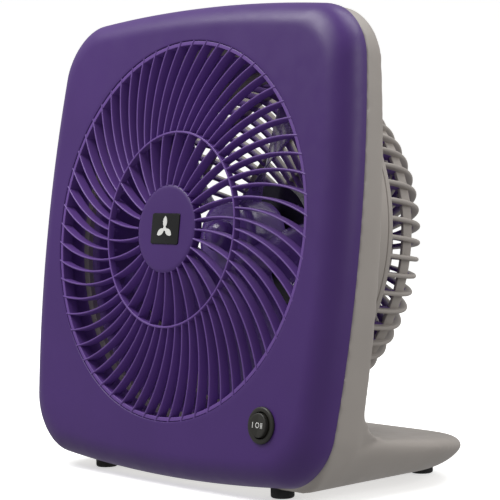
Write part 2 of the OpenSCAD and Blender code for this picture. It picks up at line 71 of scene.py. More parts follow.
HALF_W = (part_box("front_housing")[1].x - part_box("front_housing")[0].x) / 2 / MM
HALF_H = 154.65
PANEL_DROP = 5.6
CORNER_R = 32.0
SIDE_BOW = 12.0
TOP_BOW = 8.3
FRONT_DEPTH = 20.0
EDGE_ROLL = 17.0
WALL = 2.4

OPENING_R = 124.4
GRILLE_R = 124.1
MID_RING_R = 63.7
HUB_R = 29.0
GRILLE_RISE = 7.2
GRILLE_RIM_W = 2.6
GRILLE_RIM_DEEP = 9.0
GRILLE_RING_DEEP = 4.5
INNER_RIBS = 30
RIB_ARC_R = 117.0
RIB_TURN = 50.6
RIB_DEEP = 7.0

REAR_DEPTH = 39.0
REAR_SLOPE = 0.043
COLLAR_R = 119.0
COLLAR_DEPTH = 77.0
DUCT_R = 114.3
DUCT_T = 2.0
DUCT_NECK = 18.0
DUCT_SLOPE = 10.0
DUCT_END = 67.4
FOOT_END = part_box("rear_housing")[1].y / MM
FOOT_CLEAR = 6.0
FOOT_TOP = 38.0
FOOT_TIP = 26.0
FOOT_MID = 25.0
FOOT_HALF_W = HALF_W - 4.5
FOOT_CORNER_R = 60.0
FOOT_ROLL = 14.0
FOOT_EDGE = 12.0
FOOT_FRONT = CENTRE.y + 3.0
FOOT_WALL_Y = CENTRE.y + 30.0
WEB_R = 22.0
BOSS_INSET = 27.0
SINK_R = 4.4
SINK_FLOOR = 24.0
SKIN_VOXEL = 1.5
SKIN_KEPT = 0.35

GUARD_R = 117.0
GUARD_START = 79.0
GUARD_DEPTH = 144.0
GUARD_FINS = 60
GUARD_PLATE_R = 43.0
GUARD_PLATE_T = 5.0
GUARD_RIM_W = 10.0
GUARD_RIM_T = 4.0
# How far each hoop lies inside the guard's rim, and the depths between which it runs.
HOOPS = ((7.2, GUARD_START + 20, GUARD_START + 28),
         (31.0, GUARD_DEPTH - 18.5, GUARD_DEPTH - 12),
         (55.0, GUARD_DEPTH - 11, GUARD_DEPTH - 4))
HOOP_T = 2.4
FIN_T = 3.0
FIN_DEEP = 9.0

BLADE_R = 108.0
BLADE_COUNT = 5
BLADE_COVER = 0.5
BLADE_PHASE = 0.0
BLADE_PITCH = 34.0
BLADE_CAMBER = 10.0
BLADE_HUB_R = 27.0
BLADE_HUB_FRONT = 42.0
BLADE_HUB_REAR = 74.0
BLADE_HUB_T = 2.4
SHAFT_HOLE_R = 4.1
NUT_FRONT = 31.0
NUT_R = 11.0

SWITCH_AT = (100.2, -118.0)
SWITCH_HOLE_R = 10.2
BARREL_R = 9.9
BARREL_DEEP = 16.0
BEZEL_R = 11.5
CUP_DEEP = 5.0
ROCKER_R = 7.6
ROCKER_MID = 3.4
ROCKER_END = 4.3
BADGE_SIZE = (27.6, 19.8)


# ---------- making meshes ----------

def piece(name, parts, material, body="frame", nodes=(), place=PANEL):
    """One object from a list of (vertices, faces) in millimetres, smooth but for its sharp edges.

    Without a material it is a cutter or scenery: it rides on no body.
    """
    verts, faces = [], []
    for part_verts, part_faces in parts:
        base = len(verts)
        verts += [(place @ Vector(v)) * MM for v in part_verts]
        faces += [tuple(base + i for i in f) for f in part_faces]
    mesh = bpy.data.meshes.new(name)
    mesh.from_pydata(verts, [], faces)
    bm = bmesh.new()
    bm.from_mesh(mesh)
    bmesh.ops.recalc_face_normals(bm, faces=bm.faces)
    bm.to_mesh(mesh)
    bm.free()
    obj = bpy.data.objects.new(name, mesh)
    bpy.context.scene.collection.objects.link(obj)
    finish_surface(obj)
    if material:
        mesh.materials.append(material)
        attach(obj, body)
        if nodes:
            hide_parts(*nodes)
    return obj


def finish_surface(obj, sharp=35):
    """Shades an object smooth, keeping edges sharper than an angle crisp."""
    obj.data.shade_smooth()
    obj.data.set_sharp_from_angle(angle=math.radians(sharp))


def grid(rings, wrap=False, cap=False):
    """Vertices and faces that skin a list of closed rings; wrap joins the last to the first."""
    n = len(rings[0])
    verts = [p for ring in rings for p in ring]
    faces = []
    for k in range(len(rings) if wrap else len(rings) - 1):
        low, high = k * n, (k + 1) % len(rings) * n
        for i in range(n):
            j = (i + 1) % n
            faces.append((low + i, low + j, high + j, high + i))
    if cap:
        last = (len(rings) - 1) * n
        faces.append(tuple(reversed(range(n))))
        faces.append(tuple(last + i for i in range(n)))
    return verts, faces


def lathe(profile, segments=128, wrap=True):
    """A turned shape about the fan axis from (radius, height) points; wrap closes a ring's section."""
    rings = [[(r * math.cos(TAU * i / segments), r * math.sin(TAU * i / segments), z)
              for i in range(segments)] for r, z in profile]
    return grid(rings, wrap=wrap, cap=not wrap)


def rounded(points, radius, steps=5):
    """A closed outline with each corner replaced by a small arc."""
    out = []
    n = len(points)
    for i in range(n):
        here = Vector(points[i])
        before, after = Vector(points[i - 1]) - here, Vector(points[(i + 1) % n]) - here
        turn = before.angle(after)
        if turn > math.radians(176):
            out.append(tuple(here))
            continue
        reach = min(radius / math.tan(turn / 2), before.length * 0.45, after.length * 0.45)
        a, b = here + before.normalized() * reach, here + after.normalized() * reach
        for k in range(steps + 1):
            t = k / steps
            out.append(tuple(a * (1 - t) ** 2 + here * 2 * t * (1 - t) + b * t * t))
    return out


def moved(part, x=0.0, y=0.0, turn=0.0):
    """A part turned about the panel's normal, then moved in the panel's plane."""
    c, s = math.cos(turn), math.sin(turn)
    verts = [(c * p[0] - s * p[1] + x, s * p[0] + c * p[1] + y, p[2]) for p in part[0]]
    return verts, part[1]


def cut(obj, cutter):
    """Cuts one object out of another and throws the cutter away."""
    mod = obj.modifiers.new("cut", "BOOLEAN")
    mod.object = cutter
    mod.solver = "EXACT"
    apply_modifiers(obj)
    bpy.data.objects.remove(cutter)


def apply_modifiers(obj):
    """Turns an object's modifiers into plain mesh."""
    depsgraph = bpy.context.evaluated_depsgraph_get()
    done = bpy.data.meshes.new_from_object(obj.evaluated_get(depsgraph))
    obj.modifiers.clear()
    obj.data = done


# ---------- materials ----------

def rgb(r, g, b):
    """A display colour, 0 to 255, as the linear colour that a shader takes."""
    lin = [c / 255 / 12.92 if c <= 10 else ((c / 255 + 0.055) / 1.055) ** 2.4 for c in (r, g, b)]
    return (*lin, 1.0)


def shades(colour, spread):
    """The darker and lighter neighbours of a colour."""
    return ([c * (1 - spread) for c in colour[:3]] + [1.0],
            [min(1.0, c * (1 + spread)) for c in colour[:3]] + [1.0])


def new_material(name):
    """A node material, with its shader and the object coordinates at hand."""
    mat = bpy.data.materials.new(name)
    mat.use_nodes = True
    nodes, links = mat.node_tree.nodes, mat.node_tree.links
    coords = nodes.new("ShaderNodeTexCoord")
    return mat, nodes, links, nodes["Principled BSDF"], coords.outputs["Object"]


def noise(nodes, links, coords, scale, detail=3.0, stretch=(1, 1, 1)):
    """A noise value at a scale per metre, stretched along an axis if asked."""
    mapping = nodes.new("ShaderNodeMapping")
    mapping.inputs["Scale"].default_value = stretch
    links.new(coords, mapping.inputs["Vector"])
    tex = nodes.new("ShaderNodeTexNoise")
    tex.inputs["Scale"].default_value = scale
    tex.inputs["Detail"].default_value = detail
    links.new(mapping.outputs["Vector"], tex.inputs["Vector"])
    return tex.outputs["Fac"]


def blend_colour(nodes, links, shader, value, colour, spread):
    """Base colour that wanders between two shades with a noise value."""
    ramp = nodes.new("ShaderNodeValToRGB")
    dark, light = shades(colour, spread)
    ramp.color_ramp.elements[0].position = 0.35
    ramp.color_ramp.elements[1].position = 0.65
    ramp.color_ramp.elements[0].color = dark
    ramp.color_ramp.elements[1].color = light
    links.new(value, ramp.inputs["Fac"])
    links.new(ramp.outputs["Color"], shader.inputs["Base Color"])


def vary_roughness(nodes, links, shader, value, low, high):
    """Roughness that wanders between two values."""
    span = nodes.new("ShaderNodeMapRange")
    span.inputs["From Min"].default_value = 0.3
    span.inputs["From Max"].default_value = 0.7
    span.inputs["To Min"].default_value = low
    span.inputs["To Max"].default_value = high
    links.new(value, span.inputs["Value"])
    links.new(span.outputs["Result"], shader.inputs["Roughness"])


def add_bump(nodes, links, shader, values, depth, strength):
    """Surface relief, in metres, from one or more heights laid over each other."""
    normal = None
    for value, share in values:
        bump = nodes.new("ShaderNodeBump")
        bump.inputs["Distance"].default_value = depth * share
        bump.inputs["Strength"].default_value = strength
        links.new(value, bump.inputs["Height"])
        if normal:
            links.new(normal, bump.inputs["Normal"])
        normal = bump.outputs["Normal"]
    links.new(normal, shader.inputs["Normal"])


def moulded(name, colour, rough, grain=1500.0, relief=0.00006, sheen=0.0, spread=0.05):
    """Moulded plastic: fine spark grain, soft flow marks, slightly uneven gloss."""
    mat, nodes, links, shader, coords = new_material(name)
    blend_colour(nodes, links, shader, noise(nodes, links, coords, 14.0), colour, spread)
    vary_roughness(nodes, links, shader, noise(nodes, links, coords, 90.0), rough - 0.05, rough + 0.06)
    fine = noise(nodes, links, coords, grain, detail=2.0)
    flow = noise(nodes, links, coords, 35.0, detail=1.0)
    add_bump(nodes, links, shader, [(fine, 1.0), (flow, 2.0)], relief, 0.35)
    shader.inputs["Specular IOR Level"].default_value = 0.45
    if sheen:
        shader.inputs["Coat Weight"].default_value = sheen
        shader.inputs["Coat Roughness"].default_value = 0.12
    return mat


def rubber(name):
    """Dull rubber with pores."""
    mat, nodes, links, shader, coords = new_material(name)
    blend_colour(nodes, links, shader, noise(nodes, links, coords, 120.0), rgb(26, 25, 25), 0.25)
    vary_roughness(nodes, links, shader, noise(nodes, links, coords, 300.0), 0.72, 0.9)
    pores = noise(nodes, links, coords, 2600.0, detail=4.0)
    add_bump(nodes, links, shader, [(pores, 1.0)], 0.00012, 0.6)
    return mat


def metal(name, colour, low, high, stretch=(1, 1, 1), scale=700.0, relief=0.00004):
    """Bare metal whose grain runs along one axis."""
    mat, nodes, links, shader, coords = new_material(name)
    grain = noise(nodes, links, coords, scale, detail=4.0, stretch=stretch)
    blend_colour(nodes, links, shader, grain, colour, 0.12)
    vary_roughness(nodes, links, shader, grain, low, high)
    add_bump(nodes, links, shader, [(grain, 1.0)], relief, 0.5)
    shader.inputs["Metallic"].default_value = 1.0
    return mat


def layered(name, colour, pitch, metallic, low, high):
    """Thin layers stacked along the fan axis: steel sheets or turns of wire."""
    mat, nodes, links, shader, coords = new_material(name)
    tilt = nodes.new("ShaderNodeMapping")
    tilt.inputs["Rotation"].default_value = (math.asin(-BACK.z), 0, 0)
    links.new(coords, tilt.inputs["Vector"])
    wave = nodes.new("ShaderNodeTexWave")
    wave.bands_direction = "Y"
    wave.inputs["Scale"].default_value = TAU / 20 / pitch / MM
    wave.inputs["Distortion"].default_value = 0.4
    links.new(tilt.outputs["Vector"], wave.inputs["Vector"])
    blend_colour(nodes, links, shader, wave.outputs["Fac"], colour, 0.25)
    vary_roughness(nodes, links, shader, noise(nodes, links, coords, 200.0), low, high)
    add_bump(nodes, links, shader, [(wave.outputs["Fac"], 1.0)], 0.0002, 0.6)
    shader.inputs["Metallic"].default_value = metallic
    return mat


PURPLE = moulded("purple_moulding", rgb(70, 37, 110), 0.42)
# A lighter copy of the housing's purple for the grille ribs, duct ring and fin roots: painted bounce
# light in the fan's shaded inside.
PAINTED_BOUNCE_PURPLE = moulded("purple_with_painted_bounce", rgb(106, 72, 148), 0.45)
# The blades' purple is partly their own glossy colour and partly lightened as painted bounce light in
# the shaded duct.
BLADE = moulded("blade_moulding", rgb(100, 69, 146), 0.24, grain=500.0, relief=0.00002, sheen=0.4)
GREY = moulded("grey_moulding", rgb(163, 156, 150), 0.46)
GLOSS_BLACK = moulded("badge_black", rgb(14, 14, 15), 0.3, relief=0.00001, spread=0.15)
SWITCH_BLACK = moulded("switch_black", rgb(40, 39, 34), 0.42, grain=2200.0, spread=0.12)
PRINT = moulded("white_print", rgb(236, 236, 232), 0.5, relief=0.00002, spread=0.03)
CREAM = moulded("capacitor_case", rgb(205, 198, 182), 0.3, relief=0.00003)
RUBBER = rubber("foot_rubber")
CAST = metal("cast_metal", rgb(92, 92, 96), 0.42, 0.6, scale=450.0, relief=0.0001)
STEEL = metal("bright_steel", rgb(178, 180, 182), 0.2, 0.36, stretch=(1, 8, 1))
BRASS = metal("sintered_brass", rgb(184, 150, 92), 0.3, 0.45)
LAMINATION = layered("stacked_sheet", rgb(110, 112, 116), 0.8, 0.9, 0.35, 0.5)
WIRE = layered("copper_wire", rgb(170, 92, 48), 0.6, 0.8, 0.25, 0.4)

CAD_MATERIALS = {
    "badge_mark": PRINT, "rocker_marks": PRINT, "switch_terminals": BRASS,
    "base_cover": GREY, "cord_gland": RUBBER, "run_capacitor": CREAM,
    "motor_shaft": STEEL, "motor_rotor": STEEL, "motor_stator": LAMINATION,
    "motor_windings": WIRE, "motor_front_bell": CAST, "motor_rear_bell": CAST,
    "front_bearing": BRASS, "rear_bearing": BRASS, "motor_bolts": STEEL,
    "guard_screws": STEEL, "housing_screws": STEEL, "base_screws": STEEL,
}


def dress_cad_nodes():
    """Gives the small and hidden CAD nodes their own materials."""
    for name, material in CAD_MATERIALS.items():
        node = frame["nodes"][name]
        for slot in node.material_slots:
            slot.material = material


# ---------- the panel's outline ----------

def outline(inset=0.0, arc=16, side=26):
    """The bowed square of the panel, counter-clockwise, drawn in by an inset."""
    a, b, r = HALF_W, HALF_H, CORNER_R
    points = []
    centres = [(a - r, b - r), (-(a - r), b - r), (-(a - r), -(b - r)), (a - r, -(b - r))]
    for q, (cx, cy) in enumerate(centres):
        nx, ny = centres[(q + 1) % 4]
        end = math.radians(90 * q + 90)
        for k in range(arc + 1):
            t = math.radians(90 * (q + k / arc))
            points.append((cx + r * math.cos(t), cy + r * math.sin(t)))
        for k in range(1, side):
            points.append((cx + (nx - cx) * k / side + r * math.cos(end),
                           cy + (ny - cy) * k / side + r * math.sin(end)))
    out = []
    for x, y in points:
        bow_x = x - SIDE_BOW * (y / b) ** 2 * x / a
        bow_y = y - TOP_BOW * (x / a) ** 2 * y / b
        out.append((bow_x * (a - inset) / a, bow_y * (b - inset) / b - PANEL_DROP))
    return out


def level(inset, z):
    """The panel's outline, drawn in by an inset, at a height off the face."""
    return [(x, y, z) for x, y in outline(inset)]


def circle_level(radius, z):
    """A circle about the fan axis whose points face those of the outline."""
    ring = []
    for x, y in outline():
        far = math.hypot(x, y)
        ring.append((x / far * radius, y / far * radius, z))
    return ring


def between(a, b, t):
    """The ring that lies part of the way from one ring to another."""
    return [tuple(p + (q - p) * t for p, q in zip(u, v)) for u, v in zip(a, b)]


# ---------- front ----------

def air_duct():
    """The ring behind the opening, drawn in to line the collar."""
    slope_end = DUCT_NECK + DUCT_SLOPE
    start = WALL + 0.1
    section = [(DUCT_R + DUCT_T, -DUCT_END), (DUCT_R, -DUCT_END)]
    for k in range(9):
        t = k / 8
        ease = t * t * (3 - 2 * t)
        section.append((DUCT_R + (OPENING_R - DUCT_R) * ease, -slope_end + DUCT_SLOPE * t))
    section += [(OPENING_R, -start), (OPENING_R + WALL, -start),
                (OPENING_R + WALL, -DUCT_NECK), (DUCT_R + DUCT_T, -slope_end)]
    piece("duct_ring", [lathe(section, 220)], PAINTED_BOUNCE_PURPLE, nodes=["air_duct"])


def front_housing():
    """The pillow-shaped front shell, from the lip of the opening over the face to its rear edge."""
    lip = 0.7
    rings = [circle_level(OPENING_R, -lip)]
    for k in range(1, 5):
        a = math.radians(22.5 * k)
        rings.append(circle_level(OPENING_R + lip * (1 - math.cos(a)), -lip + lip * math.sin(a)))
    face_in, face_out = circle_level(OPENING_R + lip, 0), level(EDGE_ROLL, 0)
    rings += [between(face_in, face_out, t) for t in (0.08, 0.3, 0.6, 0.85, 1.0)]
    for k in range(1, 15):
        a = math.radians(90 * k / 14)
        rings.append(level(EDGE_ROLL * (1 - math.sin(a)), -EDGE_ROLL * (1 - math.cos(a))))
    rings += [level(0, -FRONT_DEPTH + 0.5), level(0.5, -FRONT_DEPTH), level(WALL, -FRONT_DEPTH)]
    for k in range(6, -1, -1):
        a = math.radians(15 * k)
        inner = EDGE_ROLL - WALL
        rings.append(level(WALL + inner * (1 - math.sin(a)), -WALL - inner * (1 - math.cos(a))))
    rings.append(circle_level(OPENING_R, -WALL))
    shell = piece("front_shell", [grid(rings, wrap=True)], PURPLE,
                  nodes=["front_housing"])
    hole = lathe([(SWITCH_HOLE_R, 4), (SWITCH_HOLE_R, -8)], 64, wrap=False)
    cut(shell, piece("hole", [moved(hole, *SWITCH_AT)], None))
    finish_surface(shell)


def grille_height(radius):
    """Height of the grille's front above the face."""
    return GRILLE_RISE * (GRILLE_R - radius) / (GRILLE_R - HUB_R)


def rib(start_radius):
    """One curved rib with a rounded front edge, a little thicker towards its back."""
    first = 2 * math.asin((start_radius - HUB_R) / (2 * RIB_ARC_R)) if start_radius > HUB_R else 0.0
    last = math.radians(RIB_TURN)
    steps = 18 if start_radius > HUB_R else 26
    front, back = 0.62, 0.95
    rings = []
    for k in range(steps + 1):
        t = first + (last - first) * k / steps
        x, y = HUB_R - 0.5 + RIB_ARC_R * math.sin(t), -RIB_ARC_R * (1 - math.cos(t))
        side = Vector((math.sin(t), math.cos(t)))
        top = grille_height(math.hypot(x, y)) - 0.05
        section = [(-back, top - RIB_DEEP), (-front, top - front * 0.9)]
        section += [(-front * math.cos(a), top - front * (1 - math.sin(a)) * 0.9)
                    for a in (math.radians(d) for d in (30, 60, 90, 120, 150))]
        section += [(front, top - front * 0.9), (back, top - RIB_DEEP)]
        rings.append([(x + side.x * w, y + side.y * w, z) for w, z in section])
    return grid(rings, cap=True)


def front_grille():
    """Ribs from the hub, more from the middle ring outwards, and the plain hub disc."""
    parts = []
    for i in range(2 * INNER_RIBS):
        start = HUB_R if i % 2 == 0 else MID_RING_R
        parts.append(moved(rib(start), turn=math.pi * i / INNER_RIBS))
    rim_top = -0.45
    rim = [(GRILLE_R, -GRILLE_RIM_DEEP), (GRILLE_R, rim_top),
           (GRILLE_R - GRILLE_RIM_W, rim_top), (GRILLE_R - GRILLE_RIM_W, -GRILLE_RIM_DEEP)]
    parts.append(lathe(rounded(rim, 0.5), 240))
    top = grille_height(MID_RING_R)
    wide, narrow = 0.85, 0.7
    ring = [(MID_RING_R - wide, top - GRILLE_RING_DEEP), (MID_RING_R + wide, top - GRILLE_RING_DEEP),
            (MID_RING_R + narrow, top + 0.2), (MID_RING_R - narrow, top + 0.2)]
    parts.append(lathe(rounded(ring, 0.6), 180))
    piece("swirl_grille", parts, PAINTED_BOUNCE_PURPLE, nodes=["front_grille"])
    disc = [(0.001, GRILLE_RISE), (HUB_R - 3, GRILLE_RISE), (HUB_R - 1.2, GRILLE_RISE - 0.15),
            (HUB_R - 0.35, GRILLE_RISE - 0.6), (HUB_R, GRILLE_RISE - 1.5), (HUB_R, 1.2),
            (HUB_R - 2, 1.2), (HUB_R - 2, GRILLE_RISE - 2.4), (0.001, GRILLE_RISE - 2.4)]
    hub = piece("grille_hub", [lathe(disc, 128, wrap=False)], PURPLE)
    cut(hub, piece("pocket", [plate(BADGE_SIZE[0] + 0.5, BADGE_SIZE[1] + 0.5, 1.7,
                                    GRILLE_RISE - 0.8, GRILLE_RISE + 2)], None))
    finish_surface(hub, 30)


def plate(width, height, corner, low, high, edge=0.0):
    """A flat plate with round corners and a softened upper edge."""
    corners = [(width / 2, height / 2), (-width / 2, height / 2),
               (-width / 2, -height / 2), (width / 2, -height / 2)]
    shape = rounded(corners, corner, 6)
    steps = 4 if edge else 0
    rings = [[(x, y, low) for x, y in shape], [(x, y, high - edge) for x, y in shape]]
    for k in range(1, steps + 1):
        a = math.radians(90 * k / steps)
        draw = edge * (1 - math.cos(a))
        rings.append([(x * (1 - 2 * draw / width), y * (1 - 2 * draw / height),
                       high - edge + edge * math.sin(a)) for x, y in shape])
    return grid(rings, cap=True)


def badge():
    """The dark plate in the middle of the grille."""
    low = GRILLE_RISE - 0.75
    piece("badge", [plate(*BADGE_SIZE, 1.5, low, low + 1.4, edge=0.3)], GLOSS_BLACK,
          nodes=["badge_plate"])


# ---------- switch ----------

def switch():
    """A flat round bezel with a deep cup, and the round rocker standing in it."""
    cup = ROCKER_R + 0.7
    bezel = [(0.001, -BARREL_DEEP), (BARREL_R, -BARREL_DEEP), (BARREL_R, 0.1),
             (BEZEL_R - 0.1, 0.1), (BEZEL_R, 0.25), (BEZEL_R, 0.6)]
    bezel += [(BEZEL_R - 1.3 * (1 - math.cos(a)), 0.6 + 1.25 * math.sin(a))
              for a in (math.radians(d) for d in range(10, 91, 16))]
    bezel += [(cup + 0.7, 1.85), (cup + 0.2, 1.7), (cup, 1.3), (cup, -CUP_DEEP), (0.001, -CUP_DEEP)]
    piece("switch_bezel", [moved(lathe(bezel, 96, wrap=False), *SWITCH_AT)], SWITCH_BLACK,
          nodes=["switch_body"])

    def ring(radius, height):
        return [(radius * math.cos(t), radius * math.sin(t), height(radius * math.cos(t)))
                for t in (TAU * i / 96 for i in range(96))]

    def top(drop):
        return lambda x: ROCKER_MID + (ROCKER_END - ROCKER_MID) * abs(x) / ROCKER_R - drop

    rings = [ring(radius, top(drop)) for radius, drop in (
        (0.3, 0), (2, 0), (4, 0), (6, 0), (6.9, 0.02), (7.25, 0.12), (7.48, 0.35), (7.58, 0.75))]
    rings += [ring(radius, lambda x, z=z: z) for radius, z in ((7.6, -1.4), (7.0, -2.0), (0.3, -2.2))]
    piece("rocker", [moved(grid(rings, cap=True), *SWITCH_AT)], SWITCH_BLACK,
          body="rocker", nodes=["switch_rocker"])


# ---------- rear housing ----------

def outline_half_width(y):
    """Half the panel's width at a height on its lower half."""
    points = [p for p in outline() if p[0] > 0 and p[1] < 0]
    points.sort(key=lambda p: p[1])
    for low, high in zip(points, points[1:]):
        if low[1] <= y <= high[1]:
            return low[0] + (high[0] - low[0]) * (y - low[1]) / (high[1] - low[1])
    return points[0][0] if y < points[0][1] else HALF_W


def rear_level(inset, depth):
    """A ring of the rear casing at a depth, on the rear wall's own lesser lean."""
    ring = []
    for x, y in outline(inset):
        point = PANEL @ Vector((x, y, -(depth - REAR_SLOPE * y)))
        ring.append((point.x, point.y, max(point.z, FOOT_CLEAR - 1)))
    return ring


def parting_level(inset, depth):
    """A ring of the rear casing at a depth, on the face's own lean."""
    ring = []
    for x, y in outline(inset):
        point = PANEL @ Vector((x, y, -depth))
        ring.append((point.x, point.y, max(point.z, FOOT_CLEAR - 1)))
    return ring


def foot_share(y):
    """How much of its full height the foot has at a distance from the front."""
    way = (y - FOOT_WALL_Y) / (FOOT_END - FOOT_WALL_Y)
    return 1 - (FOOT_TOP - FOOT_TIP) / (FOOT_TOP - FOOT_CLEAR) * way


def foot_level(draw, side, z):
    """A ring of the foot, lower towards its tip and drawn in by less where it meets the wall."""
    back = FOOT_END - draw
    r = FOOT_CORNER_R - draw
    half, near = side - draw, side - 0.2 * draw
    middle_y = (FOOT_FRONT + back - r) / 2
    ring = [(near, FOOT_FRONT, z), ((near + half) / 2, middle_y, z)]
    for k in range(25):
        t = math.radians(90 * k / 24)
        ring.append((half - r + r * math.cos(t), back - r + r * math.sin(t), z))
    ring.append((0, back, z))
    for k in range(25):
        t = math.radians(90 + 90 * k / 24)
        ring.append((-(half - r) + r * math.cos(t), back - r + r * math.sin(t), z))
    ring += [(-(near + half) / 2, middle_y, z), (-near, FOOT_FRONT, z)]
    return [(x, y, FOOT_CLEAR + (z - FOOT_CLEAR) * foot_share(y)) for x, y, z in ring]


def foot_side(z):
    """Half the foot's width at a height, where the panel's corners draw it in."""
    return min(FOOT_HALF_W, outline_half_width((z - CENTRE.z - REAR_DEPTH * BACK.z) / UP.z) - 0.4)


def foot_shape():
    """The flat foot: a wide roll under its edge and a smaller one above."""
    rings = []
    for k in range(13):
        a = math.radians(90 * k / 12)
        z = FOOT_MID - (FOOT_MID - FOOT_CLEAR) * math.cos(a)
        draw = FOOT_ROLL * (1 - math.sin(a))
        rings.append(foot_level(draw, min(FOOT_HALF_W, foot_side(z) + draw), z))
    for k in range(1, 9):
        a = math.radians(90 * k / 8)
        draw = FOOT_EDGE * (1 - math.cos(a))
        z = FOOT_MID + (FOOT_TOP - FOOT_MID) * math.sin(a)
        rings.append(foot_level(draw, foot_side(z), z))
    return grid(rings, cap=True)


def foot_web():
    """The hollow curve between the rear wall and the top of the foot, as a long bar."""
    top, low = FOOT_TOP + WEB_R, FOOT_TOP - 8
    v = (top - CENTRE.z) / UP.z
    wall = CENTRE.y + (REAR_DEPTH - REAR_SLOPE * v) * BACK.y + v * UP.y - 1.0
    section = [(wall - 8, low), (wall - 8, top)]
    section += [(wall + WEB_R - WEB_R * math.cos(a), top - WEB_R * math.sin(a))
                for a in (math.radians(d) for d in range(0, 91, 6))]
    section.append((wall + WEB_R, low))
    narrowing = 6
    rings = []
    for end in (-1, 1):
        rings.append([(end * (foot_side(z) - narrowing * max(0, (y - wall) / WEB_R) ** 2), y, z)
                      for y, z in section])
    return grid(rings, cap=True)


def base_opening():
    """The hole under the foot that the base cover fills, with round corners at the back."""
    low, high = (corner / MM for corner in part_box("base_cover"))
    gap, r = 0.3, 8.0
    arc = [(high.x - r + (r + gap) * math.cos(a), high.y - r + (r + gap) * math.sin(a))
           for a in (math.radians(d) for d in range(0, 91, 15))]
    edge = [(high.x + gap, low.y - gap)] + arc
    edge += [(-x, y) for x, y in reversed(edge)]
    return grid([[(x, y, z) for x, y in edge] for z in (0, FOOT_CLEAR + 2 * WALL)], cap=True)


def rear_housing():
    """Casing and foot blended into one moulding, then opened for the duct, base and screws."""
    casing = [rear_level(9, REAR_DEPTH), rear_level(2.6, REAR_DEPTH), rear_level(1.1, REAR_DEPTH - 0.5),
              rear_level(0.5, REAR_DEPTH - 2), rear_level(0.4, REAR_DEPTH - 5),
              parting_level(0.7, FRONT_DEPTH + 0.3), parting_level(9, FRONT_DEPTH + 0.3)]
    shell = piece("rear_moulding", [grid(casing, cap=True), foot_shape(), foot_web()],
                  GREY, nodes=["rear_housing"], place=WORLD)
    remesh = shell.modifiers.new("skin", "REMESH")
    remesh.mode = "VOXEL"
    remesh.voxel_size = SKIN_VOXEL * MM
    soften = shell.modifiers.new("soften", "SMOOTH")
    soften.factor = 0.5
    soften.iterations = 6
    thin = shell.modifiers.new("thin", "DECIMATE")
    thin.ratio = SKIN_KEPT
    apply_modifiers(shell)
    duct = lathe([(COLLAR_R - 1, -10), (COLLAR_R - 1, -60)], 180, wrap=False)
    cut(shell, piece("duct", [duct], None))
    cut(shell, piece("base", [base_opening()], None, place=WORLD))
    sinks = []
    for side in (-1, 1):
        for up in (-1, 1):
            sink = lathe([(SINK_R, -SINK_FLOOR), (SINK_R, -60)], 48, wrap=False)
            x, y = side * (HALF_W - BOSS_INSET), up * (HALF_H - BOSS_INSET) - PANEL_DROP
            sinks.append(moved(sink, x, y))
    cut(shell, piece("sinks", sinks, None))
    finish_surface(shell, 40)


def collar():
    """The round drum behind the rear wall."""
    start = REAR_DEPTH - 9
    section = [(COLLAR_R - WALL, -COLLAR_DEPTH), (COLLAR_R, -COLLAR_DEPTH),
               (COLLAR_R, -start), (COLLAR_R - WALL, -start)]
    piece("duct_collar", [lathe(rounded(section, 1.0, 4), 220)], GREY)


# ---------- rear guard ----------

def guard_section(inset, end_radius, steps):
    """Points down the guard's section, from its rim to its middle plate."""
    radius, deep = GUARD_R - inset, GUARD_DEPTH - GUARD_START - inset
    last = math.acos((end_radius / radius) ** 1.5)
    points = []
    for k in range(steps + 1):
        a = last * k / steps
        points.append((radius * math.cos(a) ** (2 / 3), GUARD_START + deep * math.sin(a) ** (2 / 3)))
    return points


def fin(outer):
    """One fin's outer or inner half: thick and round along its outer edge, thinner inside."""
    steps, split = 26, 0.5
    half, root, nose = FIN_T / 2, FIN_T / 2 - 0.4, 0.16
    if outer:
        ring = [(split, -root), (nose, -half)]
        ring += [(nose * (1 - math.sin(a)), -half * math.cos(a))
                 for a in (math.radians(d) for d in (30, 60, 90, 120, 150))]
        ring += [(nose, half), (split, root)]
    else:
        ring = [(split, root), (0.94, root - 0.1), (1.0, root - 0.5),
                (1.0, 0.5 - root), (0.94, 0.1 - root), (split, -root)]
    rings = []
    skin = guard_section(0, GUARD_PLATE_R - 1, steps)
    under = guard_section(FIN_DEEP, GUARD_PLATE_R - 1, steps)
    for (r0, d0), (r1, d1) in zip(skin, under):
        rings.append([(r0 + (r1 - r0) * t, w, -(d0 + (d1 - d0) * t)) for t, w in ring])
    return grid(rings, cap=True)


def around(part, count, half_step=False):
    """Copies of a part around the fan axis."""
    first = 0.5 if half_step else 0.0
    return [moved(part, turn=TAU * (i + first) / count) for i in range(count)]


def hoop(radius, start, end):
    """A thin ring that ties the fins together."""
    outer, inner = radius + HOOP_T / 2, radius - HOOP_T / 2
    section = [(inner, -start), (outer, -start), (outer, -end), (inner, -end)]
    return lathe(rounded(section, 0.6, 3), 180)


def rear_guard():
    """Fins, rim, hoops and a centre plate with a shallow round groove; the fins' roots are purple."""
    parts = around(fin(outer=True), GUARD_FINS, half_step=True)
    rim_front = -COLLAR_DEPTH - 0.2
    rim_back = rim_front - GUARD_RIM_T
    rim = [(COLLAR_R, rim_front), (COLLAR_R, rim_back),
           (COLLAR_R - GUARD_RIM_W, rim_back), (COLLAR_R - GUARD_RIM_W, rim_front)]
    parts.append(lathe(rounded(rim, 1.0), 220))
    for inset, start, end in HOOPS:
        parts.append(hoop(GUARD_R - inset, start, end))
    r, back, groove = GUARD_PLATE_R, -GUARD_DEPTH, 0.8
    disc = [(0.001, back + GUARD_PLATE_T), (r, back + GUARD_PLATE_T), (r, back + 1), (r - 1, back),
            (r - 9, back), (r - 10, back + groove), (r - 20, back + groove), (r - 21, back),
            (0.001, back)]
    parts.append(lathe(disc, 128, wrap=False))
    piece("fin_guard", parts, GREY, nodes=["rear_guard"])
    piece("fin_roots", around(fin(outer=False), GUARD_FINS, half_step=True), PAINTED_BOUNCE_PURPLE)


# ---------- impeller ----------

